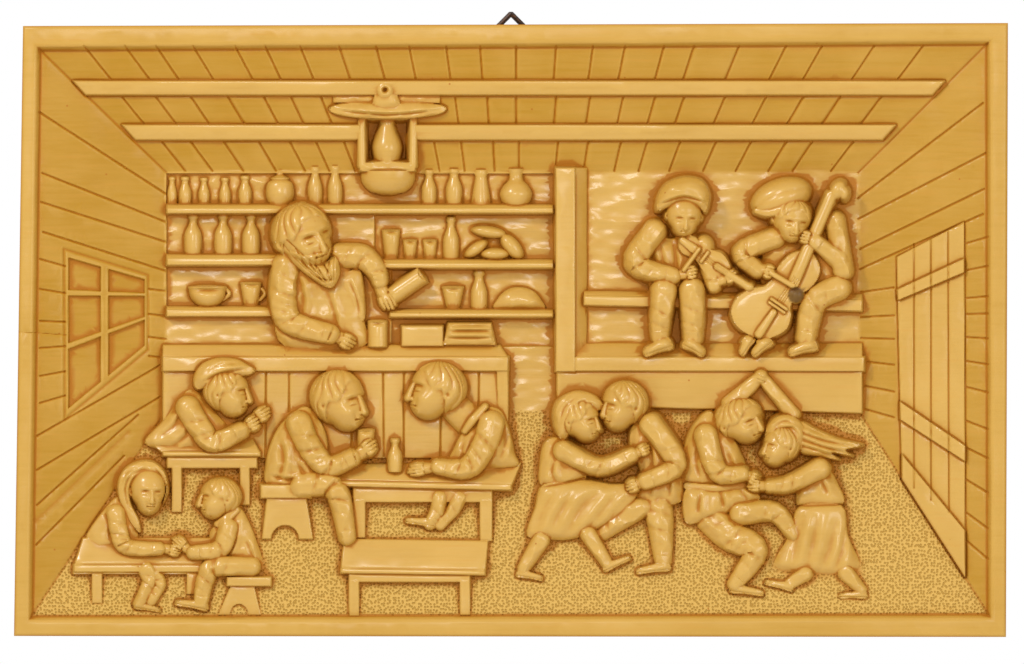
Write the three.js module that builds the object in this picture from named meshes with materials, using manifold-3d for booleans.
import * as THREE from 'three';
import { mergeVertices } from 'three/addons/utils/BufferGeometryUtils.js';
import Module from 'manifold-3d';

const wasm = await Module();
wasm.setup();

// Sizes in millimetres. Heights are measured from the flat back of the board towards the front.
const BOARD_THICKNESS = 33;
const WALL_START = 29.5;
const BACK_WALL = 16;
const ROOT_HEIGHT = 8;
const BEAM_RISE = 2.4;
const GROOVE = 0.75;
const SHELF_FRONT = 21.5;
const COUNTER_FRONT = 21;
const STAGE_FRONT = 22;
const BALL_SIDES = 8;

// Hanger sizes
const WIRE_RADIUS = 1.3;
const LOOP_HALF_WIDTH = 15;
const STRAP_WIDTH = 11;
const STRAP_THICKNESS = 0.8;
const STRAP_LENGTH = 26;
const GAP = 0.3;
const NAIL_RADIUS = 0.9;
const NAIL_HEAD_RADIUS = 2.4;
const NAIL_LENGTH = 11;

// The carving is laid out on a grid of half millimetres: columns run right, rows run down.
const STEP = 0.5;
const MIDDLE = { column: 511, row: 330 };
const across = (column) => (column - MIDDLE.column) * STEP;
const up = (row) => (MIDDLE.row - row) * STEP;
const place = ([column, row, height]) => new THREE.Vector3(across(column), -height, up(row));

// Outlines of the board and of the room cut into it
const BOARD = [[23, 26], [1008, 23], [1006, 637], [14, 636]];
const MOUTH = [[37, 47], [990, 41], [991, 618], [29, 620]];
const WALL = { left: 167, right: 858, top: 173, bottom: 410 };
const RECESS = [[167, 173], [858, 173], [858, 410], [167, 410]];

// A closed solid between rings of points, the deepest ring first
function stack(rings) {
  const size = rings[0].length;
  const flat = rings[0].map(([column, row]) => new THREE.Vector2(across(column), up(row)));
  const ordered = THREE.ShapeUtils.isClockWise(flat) ? rings.map((ring) => [...ring].reverse()) : rings;
  const spots = ordered.flat().map(place);
  const corners = [];
  const capOf = (ring) => THREE.ShapeUtils.triangulateShape(
    ring.map(([column, row]) => new THREE.Vector2(across(column), up(row))),
    [],
  );
  for (const [a, b, c] of capOf(ordered[0])) {
    corners.push(c, b, a);
  }
  const last = (rings.length - 1) * size;
  for (const [a, b, c] of capOf(ordered[rings.length - 1])) {
    corners.push(last + a, last + b, last + c);
  }
  for (let level = 0; level < rings.length - 1; level += 1) {
    for (let i = 0; i < size; i += 1) {
      const j = (i + 1) % size;
      const back = level * size;
      const front = back + size;
      corners.push(front + i, back + i, back + j, front + i, back + j, front + j);
    }
  }
  const geometry = new THREE.BufferGeometry();
  geometry.setAttribute('position', new THREE.Float32BufferAttribute(spots.flatMap((v) => [v.x, v.y, v.z]), 3));
  geometry.setIndex(corners);
  return solid(geometry);
}

// One welded, outward solid from a geometry
function solid(geometry) {
  geometry.deleteAttribute('normal');
  geometry.deleteAttribute('uv');
  const welded = mergeVertices(geometry, 1e-4);
  const index = welded.index.array;
  const spots = welded.attributes.position;
  const kept = [];
  let volume = 0;
  const corner = [new THREE.Vector3(), new THREE.Vector3(), new THREE.Vector3()];
  for (let i = 0; i < index.length; i += 3) {
    const [a, b, c] = [index[i], index[i + 1], index[i + 2]];
    if (a === b || b === c || a === c) {
      continue;
    }
    kept.push(a, b, c);
    [a, b, c].forEach((spot, k) => corner[k].fromBufferAttribute(spots, spot));
    volume += corner[0].dot(corner[1].cross(corner[2])) / 6;
  }
  if (volume < 0) {
    kept.reverse();
  }
  return new wasm.Manifold(new wasm.Mesh({
    numProp: 3,
    vertProperties: new Float32Array(spots.array),
    triVerts: new Uint32Array(kept),
  }));
}

// A flat or sloping block rooted in the board, each corner at its own height
function block(points) {
  return stack([points.map(([column, row]) => [column, row, ROOT_HEIGHT]), points]);
}

// A rectangle of one height
function panel(left, right, top, bottom, height) {
  return block([[left, top, height], [right, top, height], [right, bottom, height], [left, bottom, height]]);
}

// A swelling form: the outline at edge height, and a smaller outline at crown height
function pillow(outline, edge, crown, share = 0.6) {
  const middle = [0, 1].map((axis) => outline.reduce((sum, point) => sum + point[axis], 0) / outline.length);
  const shrunk = outline.map((point) => [0, 1].map((axis) => middle[axis] + (point[axis] - middle[axis]) * share));
  const root = outline.map(([column, row]) => [column, row, ROOT_HEIGHT]);
  const rim = outline.map(([column, row]) => [column, row, edge]);
  const top = shrunk.map(([column, row]) => [column, row, crown]);
  return stack([root, rim, top]);
}

// A round form laid on the board along a path of column, row, height and half width
const BULGE = [0, 52].map((degrees) => THREE.MathUtils.degToRad(degrees));
function laid(path) {
  const headings = path.slice(1).map((point, i) => (
    new THREE.Vector2(point[0] - path[i][0], point[1] - path[i][1]).normalize()
  ));
  const sides = path.map((_, i) => {
    const before = headings[Math.max(i - 1, 0)];
    const after = headings[Math.min(i, headings.length - 1)];
    const mean = before.clone().add(after).normalize();
    return new THREE.Vector2(-mean.y, mean.x).divideScalar(Math.max(mean.dot(after), 0.6) * STEP);
  });
  const spot = (i, sign, angle) => {
    const [column, row, height, half] = path[i];
    const reach = sign * half * Math.cos(angle);
    return [column + sides[i].x * reach, row + sides[i].y * reach, height + half * Math.sin(angle)];
  };
  const order = path.map((_, i) => i);
  const rings = BULGE.map((angle) => [
    ...order.map((i) => spot(i, 1, angle)),
    ...[...order].reverse().map((i) => spot(i, -1, angle)),
  ]);
  return stack([rings[0].map(([column, row]) => [column, row, ROOT_HEIGHT]), ...rings]);
}

// An arm, leg or other bent form with tapering ends
function limb(path) {
  const ends = [[path[0], path[1]], [path[path.length - 1], path[path.length - 2]]].map(([end, next]) => {
    const away = new THREE.Vector2(end[0] - next[0], end[1] - next[1]).setLength((end[3] * 0.9) / STEP);
    return [end[0] + away.x, end[1] + away.y, end[2], 0];
  });
  return laid([ends[0], ...path, ends[1]]);
}

// A rounded form: half sizes across, up and outwards, leaning to the right by a number of degrees
function ball(at, half, lean = 0) {
  const tilt = THREE.MathUtils.degToRad(lean);
  const ring = (angle) => Array.from({ length: BALL_SIDES }, (_, i) => {
    const turn = ((i + 0.5) * 2 * Math.PI) / BALL_SIDES;
    const sideways = half[0] * Math.cos(turn) * Math.cos(angle);
    const upwards = half[1] * Math.sin(turn) * Math.cos(angle);
    return [
      at[0] + (sideways * Math.cos(tilt) + upwards * Math.sin(tilt)) / STEP,
      at[1] - (upwards * Math.cos(tilt) - sideways * Math.sin(tilt)) / STEP,
      at[2] + half[2] * Math.sin(angle),
    ];
  });
  const rings = BULGE.map(ring);
  return stack([rings[0].map(([column, row]) => [column, row, ROOT_HEIGHT]), ...rings]);
}

// A turned vessel standing upright: half widths and rows from the foot up
function vessel(column, height, profile) {
  return laid(profile.map(([halfWidth, row]) => [column, row, height, halfWidth * STEP]));
}

function bottle(column, halfWidth, top, foot, neck, height) {
  const shoulder = foot + (top - foot) * 0.58;
  const throat = foot + (top - foot) * 0.78;
  return vessel(column, height, [[halfWidth, foot], [halfWidth, shoulder], [neck, throat], [neck, top]]);
}

function smallBottle(column, halfWidth, top, foot, height) {
  return vessel(column, height, [[halfWidth, foot], [halfWidth, foot + (top - foot) * 0.5], [halfWidth * 0.4, top]]);
}

function cup(column, brim, base, top, foot, height) {
  return vessel(column, height, [[base, foot], [brim, top]]);
}

function joined(solids) {
  return solids.reduce((whole, next) => whole.add(next));
}

// Height of the empty room's surface at a place on the grid
function roomHeight(column, row) {
  const inward = [
    (column - MOUTH[3][0]) / (WALL.left - MOUTH[3][0]),
    (MOUTH[1][0] - column) / (MOUTH[1][0] - WALL.right),
    (row - MOUTH[1][1]) / (WALL.top - MOUTH[1][1]),
    (MOUTH[2][1] - row) / (MOUTH[2][1] - WALL.bottom),
  ];
  const share = THREE.MathUtils.clamp(Math.min(...inward), 0, 1);
  return WALL_START + (BACK_WALL - WALL_START) * share;
}

// A shallow V groove along the room's surface
function groove(from, to) {
  const [start, end] = [from, to].map(([column, row]) => place([column, row, roomHeight(column, row)]));
  const along = end.clone().sub(start);
  const geometry = new THREE.CylinderGeometry(GROOVE, GROOVE, along.length(), 4);
  geometry.rotateY(Math.PI / 4);
  geometry.translate(0, along.length() / 2, 0);
  geometry.applyQuaternion(new THREE.Quaternion().setFromUnitVectors(
    new THREE.Vector3(0, 1, 0),
    along.normalize(),
  ));
  geometry.translate(start.x, start.y, start.z);
  return solid(geometry);
}

// Board with the room cut into it
function room() {
  const slab = stack([BOARD.map((spot) => [...spot, 0]), BOARD.map((spot) => [...spot, BOARD_THICKNESS])]);
  const hollow = stack([
    RECESS.map((spot) => [...spot, BACK_WALL]),
    MOUTH.map((spot) => [...spot, WALL_START]),
    MOUTH.map((spot) => [...spot, BOARD_THICKNESS + 5]),
  ]);
  return slab.subtract(hollow);
}

// Two ceiling beams that run from wall to wall
function beams() {
  const rows = [{ top: 81, bottom: 95, left: 73, right: 945 }, { top: 125, bottom: 140, left: 122, right: 896 }];
  return rows.map(({ top, bottom, left, right }) => {
    const [back, front] = [roomHeight(511, bottom) + BEAM_RISE, roomHeight(511, top) + BEAM_RISE];
    const reach = (bottom - top) * 0.9;
    return block([
      [left, top, front],
      [right, top, front],
      [right - reach, bottom, back],
      [left + reach, bottom, back],
    ]);
  });
}

// Plank joints of the ceiling, all running towards one far point
function ceilingGrooves() {
  const far = { column: 519, row: 585 };
  const [first, last, top, bottom, count] = [106, 905, 50, 171, 14];
  return Array.from({ length: count }, (_, i) => {
    const column = first + ((last - first) * i) / (count - 1);
    const shift = ((far.column - column) * (bottom - top)) / (far.row - top);
    return groove([column, top], [column + shift, bottom]);
  });
}

// Plank joints of the two side walls
function wallGrooves() {
  const left = [
    [[41, 113], [165, 194]],
    [[42, 173], [165, 222]],
    [[43, 203], [165, 242]],
    [[43, 232], [165, 271]],
    [[39, 435], [164, 363]],
    [[38, 469], [158, 398]],
    [[38, 504], [136, 417]],
  ];
  const right = [
    [[983, 104], [860, 197]],
    [[985, 154], [860, 218]],
    [[984, 189], [861, 248]],
    [[983, 214], [861, 268]],
  ];
  return [...left, ...right].map(([from, to]) => groove(from, to));
}

// Window with six panes in the left wall
function windowPanes() {
  const edges = [[68, 100], [108, 144]];
  const topAt = (column) => 252 + (column - 67) * 0.32;
  const foot = (column) => 414 - (column - 68) * 0.857;
  const pane = (left, right, from, to) => {
    const corners = [[left, from], [right, from], [right, to], [left, to]].map(([column, share]) => {
      const row = topAt(column) + (foot(column) - topAt(column)) * share;
      return [column, row, roomHeight(column, row) - 1.6];
    });
    return stack([corners, corners.map(([column, row]) => [column, row, BOARD_THICKNESS])]);
  };
  return edges.flatMap(([left, right]) => [
    pane(left, right, 0.03, 0.235),
    pane(left, right, 0.265, 0.565),
    pane(left, right, 0.595, 0.97),
  ]);
}

// Plank door in the right wall with two cross rails
function door() {
  const sheet = (corners, rise) => block(corners.map(([column, row]) => (
    [column, row, roomHeight(column, row) + rise]
  )));
  return [
    sheet([[897, 257], [964, 222], [965, 577], [902, 479]], 1.0),
    sheet([[897, 290], [964, 259], [964, 272], [898, 300]], 2.2),
    sheet([[900, 402], [965, 446], [965, 461], [900, 419]], 2.2),
    sheet([[902, 455], [965, 531], [965, 577], [902, 479]], 2.2),
  ];
}

// Shelves behind the counter, with what stands on them
function shelves() {
  const boards = [
    panel(160, 553, 205, 213, SHELF_FRONT),
    panel(160, 276, 255, 265, SHELF_FRONT),
    panel(383, 553, 260, 268, SHELF_FRONT),
    panel(160, 276, 307, 316, SHELF_FRONT),
    panel(390, 553, 310, 317, SHELF_FRONT),
  ];
  const depth = BACK_WALL - 0.2;
  const topRow = [[172, 5, 177], [185, 6.4, 177], [204, 5.6, 178], [225, 5.6, 178], [245, 6.8, 176]];
  const tallRow = [[315, 7.5, 167], [335, 7.5, 166], [429, 7.6, 170], [454, 8.4, 169]];
  const smallBottles = topRow.map(([column, half, top]) => smallBottle(column, half, top, 206, depth));
  const bottles = tallRow.map(([column, half, top]) => bottle(column, half, top, 206, half * 0.5, depth));
  const lowBottles = [193, 223, 251].map((column) => bottle(column, 9, 214, 256, 4, depth));
  return [
    ...boards,
    ...smallBottles,
    ...bottles,
    ...lowBottles,
    vessel(280, depth, [[11, 206], [14.3, 194], [12, 182], [3, 177], [3, 170]]),
    vessel(481, depth, [[10.4, 206], [6, 178], [6, 170]]),
    vessel(516, depth, [[10.7, 207], [16.5, 194], [7.6, 181], [7.6, 169]]),
    bottle(451, 8, 217, 261, 3.8, depth),
    bottle(479, 8.4, 271, 311, 4.6, depth),
    cup(391, 9.5, 6.4, 230, 261, depth),
    cup(410, 7.3, 5.3, 240, 261, depth),
    cup(430, 7.3, 5.3, 240, 261, depth),
    cup(251, 11, 7, 283, 308, depth),
    cup(453, 11.5, 6.4, 287, 311, depth),
    vessel(207.5, depth, [[8, 308], [16, 298], [19.6, 287]]),
    ball([489, 232, depth], [8.5, 3, 3.5], 8),
    ball([476, 249, depth], [6.5, 2.9, 3.5], -35),
    ball([512, 247, depth], [7.5, 4, 3.5], 50),
    ball([495, 254, depth], [7, 3, 4.2]),
    vessel(519, depth, [[22, 310], [20, 299], [9, 288]]),
  ];
}

// Oil lamp that hangs from the ceiling
function lamp() {
  const height = 22;
  return [
    panel(333, 440, 94, 103, 25),
    panel(373, 399, 85, 108, 27),
    ball([387, 110, 24], [28.5, 4, 5]),
    panel(359, 365, 118, 165, height),
    panel(410, 416, 118, 165, height),
    vessel(387, height - 2, [[12, 166], [14.5, 147], [7, 121]]),
    panel(361, 414, 163, 172, height + 1.5),
    vessel(388, height - 4, [[9, 194], [21, 189], [26.5, 178], [26, 171]]),
  ];
}

// Counter with its top board, front boards and what lies on it
function counter() {
  return [
    block([[160, 345, 18], [500, 345, 18], [507, 358, 23], [160, 358, 23]]),
    panel(160, 507, 357, 371, 23),
    panel(160, 503, 370, 458, COUNTER_FRONT),
    pillow([[443, 345], [449, 322], [490, 322], [496, 345]], 20, 22.5, 0.8),
    panel(402, 444, 326, 346, 20.5),
    cup(377.5, 9.8, 9.8, 321, 347, 19),
  ];
}

// Stage with its corner post and the players' bench
function stage() {
  return [
    panel(556, 575, 168, 372, STAGE_FRONT + 1),
    block([[575, 168, 22], [586, 168, 17], [586, 360, 17], [575, 372, 22]]),
    block([[575, 343, 17], [862, 343, 17], [862, 358, 23], [575, 358, 23]]),
    panel(556, 864, 357, 371, STAGE_FRONT + 1),
    block([[557, 370, 21.5], [862, 370, 21.5], [862, 413, 20.5], [557, 405, 20.5]]),
    block([[584, 291, 18], [862, 291, 18], [862, 305, 22], [584, 304, 22]]),
  ];
}

// A table or bench: sloping top, front rail and front legs
function table({ top, back, front, rail, legs, feet, height }) {
  const [farLeft, farRight, nearRight, nearLeft] = top;
  return [
    block([[...farLeft, back], [...farRight, back], [...nearRight, front], [...nearLeft, front]]),
    panel(rail[0], rail[1], nearLeft[1] - 2, rail[2], height),
    ...legs.map((left, i) => panel(left, left + rail[3], rail[2] - 2, feet[i], height)),
  ];
}

function furniture() {
  const leftTable = {
    top: [[146, 440], [250, 433], [260, 455], [163, 455]],
    back: 20,
    front: 25.5,
    rail: [167, 257, 468, 9.5],
    legs: [172, 240],
    feet: [512, 505],
    height: 24,
  };
  const bigTable = {
    top: [[340, 464], [521, 463], [511, 489], [336, 484]],
    back: 22,
    front: 28,
    rail: [353, 492, 502, 12],
    legs: [353, 480],
    feet: [538, 541],
    height: 26,
  };
  const frontBench = {
    top: [[344, 539], [488, 541], [485, 573], [341, 571]],
    back: 26.5,
    front: 31,
    rail: [349, 470, 582, 10],
    legs: [349, 460],
    feet: [616, 615],
    height: 30,
  };
  const lowTable = {
    top: [[83, 538], [212, 538], [201, 567], [74, 567]],
    back: 26,
    front: 30,
    rail: [73, 201, 574, 10],
    legs: [92, 187],
    feet: [603, 594],
    height: 29.5,
  };
  const stools = [
    panel(261, 311, 485, 498, 27),
    block([[267, 497, 26], [306, 497, 26], [313, 539, 26], [299, 539, 26], [294, 528, 26], [277, 528, 26],
      [271, 539, 26], [262, 539, 26]]),
    panel(227, 271, 577, 586, 30),
    block([[231, 585, 29.5], [254, 585, 29.5], [261, 615, 29.5], [248, 615, 29.5], [240, 602, 29.5],
      [230, 615, 29.5], [218, 615, 29.5]]),
  ];
  return [leftTable, bigTable, frontBench, lowTable].flatMap(table).concat(stools, [
    bottle(395, 7, 439, 472, 3.2, 24),
  ]);
}

// A head with the nose towards the side it faces (-1 left, 1 right)
function head({ at, half, lean = 0, faces = 0, low = 0 }) {
  const [column, row, height] = at;
  const tilt = THREE.MathUtils.degToRad(lean);
  const spot = (sideways, upwards, outwards) => [
    column + (sideways * Math.cos(tilt) + upwards * Math.sin(tilt)) / STEP,
    row - (upwards * Math.cos(tilt) - sideways * Math.sin(tilt)) / STEP,
    height + outwards,
  ];
  const [wide, tall] = half;
  const turn = faces * 0.62;
  return [
    ball(at, [wide * 1.04, tall * 1.04, wide * 0.72], lean),
    laid([
      [...spot(turn * wide, tall * (0.1 - low), wide * (0.66 - Math.abs(turn) * 0.35)), wide * 0.1],
      [...spot(turn * wide * 1.32, -tall * (0.2 + low), wide * (0.78 - Math.abs(turn) * 0.4)), wide * 0.17],
    ]),
  ];
}

// A string instrument seen from the front: half widths along the body from tail to shoulder
function stringBody(tail, shoulder, widths, height, crown) {
  const along = [shoulder[0] - tail[0], shoulder[1] - tail[1]];
  const length = Math.hypot(...along);
  const side = [-along[1] / length, along[0] / length];
  const edge = (sign) => widths.map(([share, half]) => [
    tail[0] + along[0] * share + side[0] * half * sign,
    tail[1] + along[1] * share + side[1] * half * sign,
  ]);
  return pillow([...edge(1), ...edge(-1).reverse()], height, crown, 0.86);
}

// Barman leaning over the counter
function barman() {
  return [
    ...head({ at: [303, 238, 21], half: [14.5, 16], lean: -18, faces: 1, low: 0.1 }),
    limb([[291, 258, 22, 5.5], [316, 272, 23, 7], [334, 285, 23, 2]]),
    pillow([[283, 256], [340, 252], [352, 275], [363, 314], [364, 346], [285, 346], [275, 300]], 19, 22.5),
    limb([[286, 264, 21, 7.2], [289, 318, 22.5, 7.2], [329, 333, 24, 4.8], [352, 342, 24, 3]]),
    limb([[347, 252, 20.5, 6.5], [374, 261, 20.5, 6], [380, 283, 21.5, 4.2], [387, 304, 22, 3.5]]),
    laid([[395, 292, 21, 4], [421, 276, 20, 4]]),
  ];
}

// Player with a knitted hat and a fiddle
function fiddler() {
  return [
    ...head({ at: [684, 214, 22], half: [9.5, 12], faces: 0.2, low: 0.1 }),
    pillow([[655, 226], [668, 238], [700, 236], [706, 256], [702, 292], [653, 292], [650, 258]], 20, 23.5),
    ball([685, 193, 22], [14, 8.5, 8], 5),
    limb([[655, 231, 22.5, 5.8], [636, 263, 24, 5.8], [673, 276, 25, 4.2], [692, 273, 26, 3]]),
    limb([[703, 246, 22.5, 5.5], [712, 284, 24.5, 3.6], [729, 277, 25.5, 3.2]]),
    stringBody([682, 240], [726, 274], [[0, 6], [0.18, 11], [0.4, 8.5], [0.72, 13.5], [1, 7]], 26, 27.5),
    limb([[720, 270, 26.5, 2], [747, 286, 26, 2]]),
    limb([[664, 290, 24, 6.6], [660, 338, 23, 4.3]]),
    limb([[692, 290, 24, 6.6], [693, 338, 23, 5]]),
    limb([[663, 346, 23.5, 4.5], [647, 351, 24, 2.6]]),
    limb([[692, 346, 23.5, 4.6], [700, 351, 24, 3.4]]),
  ];
}

// Player with a flat cap and a bass fiddle
function bassPlayer() {
  const widths = [[0, 12], [0.12, 25], [0.32, 27], [0.53, 18], [0.75, 22], [1, 9]];
  return [
    ...head({ at: [790, 219, 22], half: [10.5, 11.5], faces: 0.4, low: 0.1 }),
    ball([780, 198, 22], [15, 8.5, 8], -14),
    pillow([[768, 237], [812, 240], [836, 222], [846, 250], [842, 290], [768, 290], [762, 258]], 20, 23),
    limb([[775, 238, 22.5, 5.4], [742, 253, 23.5, 5], [758, 270, 25, 4], [766, 270, 27, 3.5]]),
    limb([[835, 221, 22, 5.2], [843, 270, 23, 5.2]]),
    limb([[838, 260, 24, 4.8], [810, 238, 27, 3.4]]),
    stringBody([756, 337], [813, 254], widths, 25, 27),
    limb([[786, 275, 27.5, 2.8], [831, 196, 26, 2.8]]),
    ball([840, 191, 25.5], [4.6, 5.6, 3]),
    limb([[838, 288, 23, 6.5], [814, 302, 24.5, 6.2], [806, 338, 23.5, 5]]),
    limb([[808, 346, 24, 4.2], [794, 349, 24, 2.8]]),
    limb([[747, 342, 24, 3.6], [744, 350, 24, 2.8]]),
    limb([[763, 344, 24, 4.2], [757, 350, 24, 3.2]]),
  ];
}

// Man in a cap asleep on the left table
function sleeper() {
  return [
    pillow([[146, 442], [166, 420], [188, 391], [205, 396], [214, 414], [226, 432], [206, 450], [176, 452]], 21, 25),
    ...head({ at: [229, 394, 23], half: [10, 11.5], lean: -6, faces: 1 }),
    ball([222, 375, 23], [14.5, 7.6, 8], -14),
    limb([[228, 384, 27, 2], [252, 371, 25, 1.6]]),
    limb([[190, 407, 24.5, 6.5], [211, 440, 26, 5.5], [241, 431, 26.5, 4], [250, 425, 26.5, 3.6]]),
    limb([[246, 424, 25, 3.2], [266, 413, 25, 3]]),
  ];
}

// Man with a mug at the left end of the big table
function drinker() {
  return [
    pillow([[293, 413], [308, 408], [325, 430], [327, 460], [322, 486], [268, 486], [267, 460], [277, 430]], 23, 27),
    ...head({ at: [340, 401, 24], half: [13.5, 16], lean: -10, faces: 0.9, low: 0.15 }),
    limb([[300, 424, 26, 6.4], [326, 467, 27.5, 5.4], [352, 457, 27.5, 4.2], [366, 450, 27.5, 3.6]]),
    vessel(366, 26, [[8, 450], [8, 430]]),
    limb([[305, 484, 25.5, 6.2], [341, 489, 26.5, 5.4], [347, 536, 26, 4.6]]),
  ];
}

// Bald man leaning in from the right end of the big table
function guest() {
  return [
    pillow([[460, 416], [484, 408], [506, 413], [512, 440], [514, 466], [452, 466], [450, 436]], 23, 27),
    limb([[446, 404, 24, 7], [470, 420, 24.5, 8]]),
    ...head({ at: [435, 391, 24.5], half: [13, 15], lean: 10, faces: -0.9, low: 0.15 }),
    limb([[488, 426, 26, 6.4], [468, 468, 27.5, 5.4], [437, 467, 28, 3.6], [411, 471, 27.5, 1.8]]),
    limb([[438, 500, 24.5, 4], [430, 523, 24.5, 3.4], [410, 520, 24.5, 2]]),
    limb([[457, 500, 24.5, 4], [441, 525, 24.5, 2.6]]),
  ];
}

// Woman and man at the low table in the corner
function cornerPair() {
  return [
    pillow([[110, 503], [126, 500], [136, 520], [136, 546], [112, 550], [87, 537]], 25, 28),
    ...head({ at: [147, 491, 25.5], half: [8.6, 11.5], faces: 0.3 }),
    ball([140, 480, 25], [11, 10, 6.5], -20),
    limb([[124, 484, 25, 4], [126, 506, 26.5, 4.2], [138, 530, 27, 2.4]]),
    limb([[116, 516, 27, 5], [123, 546, 28.5, 4.4], [160, 550, 29, 3.2], [176, 551, 29, 2.4]]),
    limb([[150, 570, 28, 4], [141, 602, 28.5, 3.4], [157, 608, 28.5, 2.2]]),
    limb([[162, 572, 27.5, 3.6], [151, 601, 28, 3]]),
    pillow([[222, 518], [240, 509], [252, 530], [264, 562], [254, 575], [222, 572], [210, 554], [209, 532]], 25.5, 29),
    ...head({ at: [218, 499, 26], half: [9.8, 10.4], lean: 8, faces: -0.9 }),
    limb([[226, 529, 28.5, 5], [217, 553, 29.2, 4.4], [191, 551, 29.2, 3.2], [177, 541, 29, 2.4]]),
    limb([[251, 569, 28.5, 5], [207, 573, 29.2, 4.4], [201, 603, 29, 3.6], [180, 604, 29, 2.4]]),
  ];
}

// Left dancing pair
function firstPair() {
  const skirt = [[544, 484], [584, 480], [637, 485], [633, 504], [594, 532], [553, 540], [527, 536], [535, 508]];
  return [
    limb([[640, 508, 24.5, 5.5], [606, 531, 24.5, 4]]),
    pillow([[632, 426], [650, 419], [666, 442], [679, 468], [681, 502], [636, 502], [640, 470], [630, 448]], 23, 27.5),
    ...head({ at: [623, 406, 24], half: [11.2, 12.8], lean: 8, faces: -0.6, low: 0.15 }),
    limb([[655, 505, 26, 8], [662, 532, 26.5, 5.6], [663, 560, 26.5, 4.2]]),
    limb([[664, 567, 27, 3], [641, 569, 27, 2.4]]),
    pillow([[546, 441], [563, 438], [582, 453], [584, 481], [543, 486], [540, 462]], 24, 28.5),
    ...head({ at: [581, 421, 24.5], half: [9.5, 10.6], lean: -8, faces: 0.5, low: 0.1 }),
    ball([578, 407, 24.5], [12, 8.5, 7.5], -5),
    pillow(skirt, 26, 30, 0.62),
    limb([[563, 451, 28.5, 5], [599, 467, 29.5, 4.2], [635, 454, 29.5, 3.4], [644, 450, 29.5, 2.8]]),
    limb([[651, 425, 27, 6], [676, 464, 29, 5], [642, 482, 29.5, 4.2], [634, 485, 29.5, 3.2]]),
    limb([[541, 540, 27, 4.6], [521, 573, 27, 3.4], [539, 577, 27, 2.2]]),
    limb([[588, 534, 27, 4.2], [607, 567, 27, 3.2], [626, 558, 27, 2.2]]),
  ];
}

// Right dancing pair
function secondPair() {
  return [
    limb([[733, 400, 24, 4], [760, 377, 24.5, 3]]),
    limb([[793, 415, 24, 3.6], [761, 377, 24.5, 3]]),
    limb([[741, 514, 25.5, 6.2], [774, 512, 26, 5], [793, 534, 25, 4]]),
    pillow([[708, 411], [722, 424], [738, 446], [746, 484], [687, 486], [683, 455], [690, 430]], 23, 28),
    pillow([[686, 487], [746, 485], [760, 499], [735, 508], [704, 516], [685, 520]], 23.5, 28, 0.7),
    ...head({ at: [741, 421, 24.5], half: [12, 11.8], lean: -10, faces: 0.6, low: 0.15 }),
    limb([[706, 436, 27.5, 6], [718, 472, 29.5, 5.2], [745, 474, 29.5, 3.8], [754, 478, 29.5, 3]]),
    limb([[709, 524, 27, 8], [755, 549, 28.5, 6.2], [734, 586, 28, 3.8], [759, 591, 28, 2.4]]),
    limb([[790, 428, 26, 5.6], [828, 447, 25.5, 4.6], [859, 446, 24.5, 1.6]]),
    pillow([[800, 470], [822, 462], [838, 484], [842, 504], [800, 506], [797, 488]], 24, 28),
    ...head({ at: [779, 446, 25.5], half: [8.6, 10.4], lean: 6, faces: -0.5, low: 0.1 }),
    ball([784, 430, 25], [11.5, 7.5, 7], 8),
    limb([[820, 469, 28, 5.2], [789, 484, 29.5, 4.2], [756, 486, 29.5, 2.8]]),
    pillow([[800, 505], [841, 504], [848, 535], [859, 571], [818, 574], [774, 567], [789, 535]], 25.5, 29.5, 0.65),
    limb([[804, 574, 27, 4], [786, 588, 27.5, 3], [769, 583, 27.5, 2]]),
    limb([[846, 573, 27, 4.2], [864, 596, 27.5, 3], [843, 595, 27.5, 2]]),
  ];
}

// Loop, strap and nail at the middle of the top edge, on the back
const loopTop = up(13.6);
const loopFoot = loopTop - LOOP_HALF_WIDTH;
const wireDepth = GAP + STRAP_THICKNESS + GAP + WIRE_RADIUS;
const nailHeight = loopFoot - 14;

function loop() {
  const corners = [[0, loopTop], [LOOP_HALF_WIDTH, loopFoot], [-LOOP_HALF_WIDTH, loopFoot]];
  const bars = [];
  for (let i = 0; i < corners.length; i += 1) {
    const [start, end] = [i, (i + 1) % 3].map((k) => new THREE.Vector3(corners[k][0], wireDepth, corners[k][1]));
    const along = end.clone().sub(start);
    const geometry = new THREE.CapsuleGeometry(WIRE_RADIUS, along.length(), 1, 8);
    geometry.translate(0, along.length() / 2, 0);
    geometry.applyQuaternion(new THREE.Quaternion().setFromUnitVectors(
      new THREE.Vector3(0, 1, 0),
      along.normalize(),
    ));
    geometry.translate(start.x, start.y, start.z);
    bars.push(solid(geometry));
  }
  return joined(bars);
}

function nailShank(radius) {
  const geometry = new THREE.CylinderGeometry(radius, radius, NAIL_LENGTH, 8);
  geometry.translate(0, 2 * GAP + STRAP_THICKNESS + 0.2 - NAIL_LENGTH / 2, nailHeight);
  return solid(geometry);
}

function nail() {
  const head = new THREE.CylinderGeometry(NAIL_HEAD_RADIUS * 0.8, NAIL_HEAD_RADIUS, 0.9, 12);
  head.rotateX(Math.PI);
  head.translate(0, 2 * GAP + STRAP_THICKNESS + 0.45, nailHeight);
  return solid(head).add(nailShank(NAIL_RADIUS));
}

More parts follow.
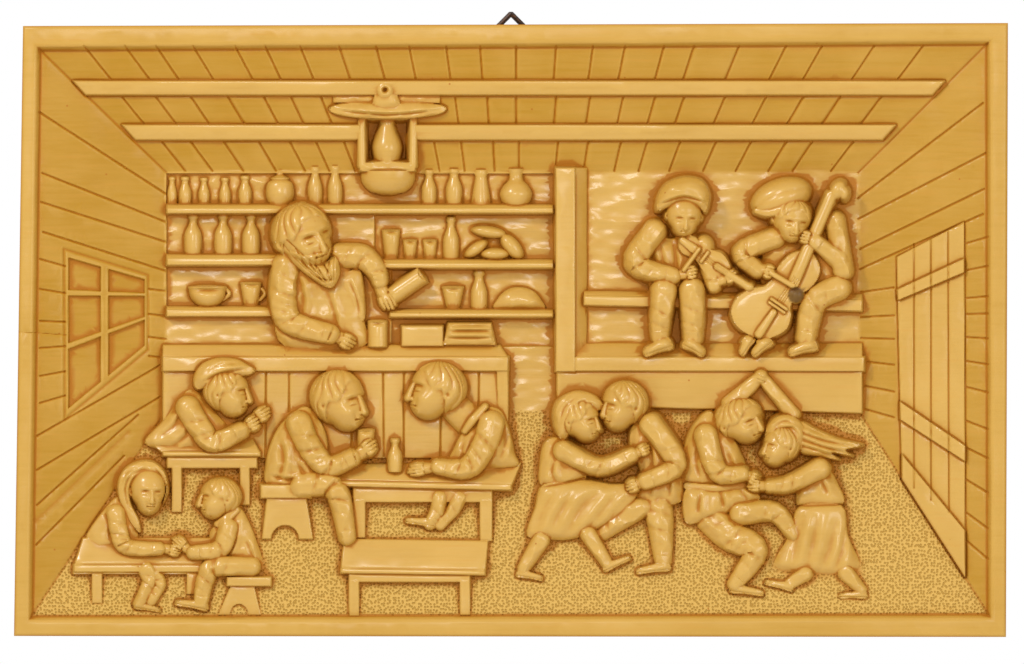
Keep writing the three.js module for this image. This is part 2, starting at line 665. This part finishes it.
function strap() {
  const outer = WIRE_RADIUS + GAP + STRAP_THICKNESS;
  const inner = WIRE_RADIUS + GAP;
  const profile = new THREE.Shape();
  profile.moveTo(GAP, loopFoot - STRAP_LENGTH);
  profile.lineTo(GAP, loopFoot);
  profile.absarc(wireDepth, loopFoot, outer, Math.PI, -Math.PI / 3, true);
  profile.absarc(wireDepth, loopFoot, inner, -Math.PI / 3, Math.PI, false);
  profile.lineTo(GAP + STRAP_THICKNESS, loopFoot - STRAP_LENGTH);
  const geometry = new THREE.ExtrudeGeometry(profile, { depth: STRAP_WIDTH, bevelEnabled: false, curveSegments: 6 });
  geometry.translate(0, 0, -STRAP_WIDTH / 2);
  geometry.applyMatrix4(new THREE.Matrix4().makeBasis(
    new THREE.Vector3(0, 1, 0),
    new THREE.Vector3(0, 0, 1),
    new THREE.Vector3(1, 0, 0),
  ));
  return solid(geometry).subtract(nailShank(NAIL_RADIUS + GAP));
}

// The whole carving, joined into the board
function plaque() {
  const carved = [
    ...beams(),
    ...door(),
    ...shelves(),
    ...lamp(),
    ...barman(),
    ...counter(),
    ...stage(),
    ...fiddler(),
    ...bassPlayer(),
    ...sleeper(),
    ...drinker(),
    ...guest(),
    ...furniture(),
    ...cornerPair(),
    ...firstPair(),
    ...secondPair(),
  ];
  const cuts = joined([...ceilingGrooves(), ...wallGrooves(), ...windowPanes()]);
  return joined([room().subtract(cuts), ...carved]).subtract(nailShank(NAIL_RADIUS + GAP));
}

function meshOf(shape, material, name) {
  const { numProp, vertProperties, triVerts } = shape.getMesh();
  const spots = [];
  for (let i = 0; i < vertProperties.length; i += numProp) {
    spots.push(vertProperties[i], vertProperties[i + 1], vertProperties[i + 2]);
  }
  const geometry = new THREE.BufferGeometry();
  geometry.setAttribute('position', new THREE.Float32BufferAttribute(spots, 3));
  geometry.setIndex([...triVerts]);
  geometry.computeVertexNormals();
  const mesh = new THREE.Mesh(geometry, material);
  mesh.name = name;
  return mesh;
}

const limewood = new THREE.MeshStandardMaterial({ color: 0xd09e49, roughness: 0.42, metalness: 0 });
const darkSteel = new THREE.MeshStandardMaterial({ color: 0x2c2019, roughness: 0.5, metalness: 0.8 });

// Everything is placed so that the inner top of the loop, where it hangs, is the origin
const hung = new THREE.Group();
hung.position.set(0, -wireDepth, WIRE_RADIUS * Math.SQRT2 - loopTop);
hung.add(meshOf(plaque(), limewood, 'plaque'));
hung.add(meshOf(loop(), darkSteel, 'hanger_ring'));
hung.add(meshOf(strap(), darkSteel, 'hanger_strap'));
hung.add(meshOf(nail(), darkSteel, 'hanger_nail'));

const group = new THREE.Group();
group.name = 'relief_plaque';
group.add(hung);

export default group;
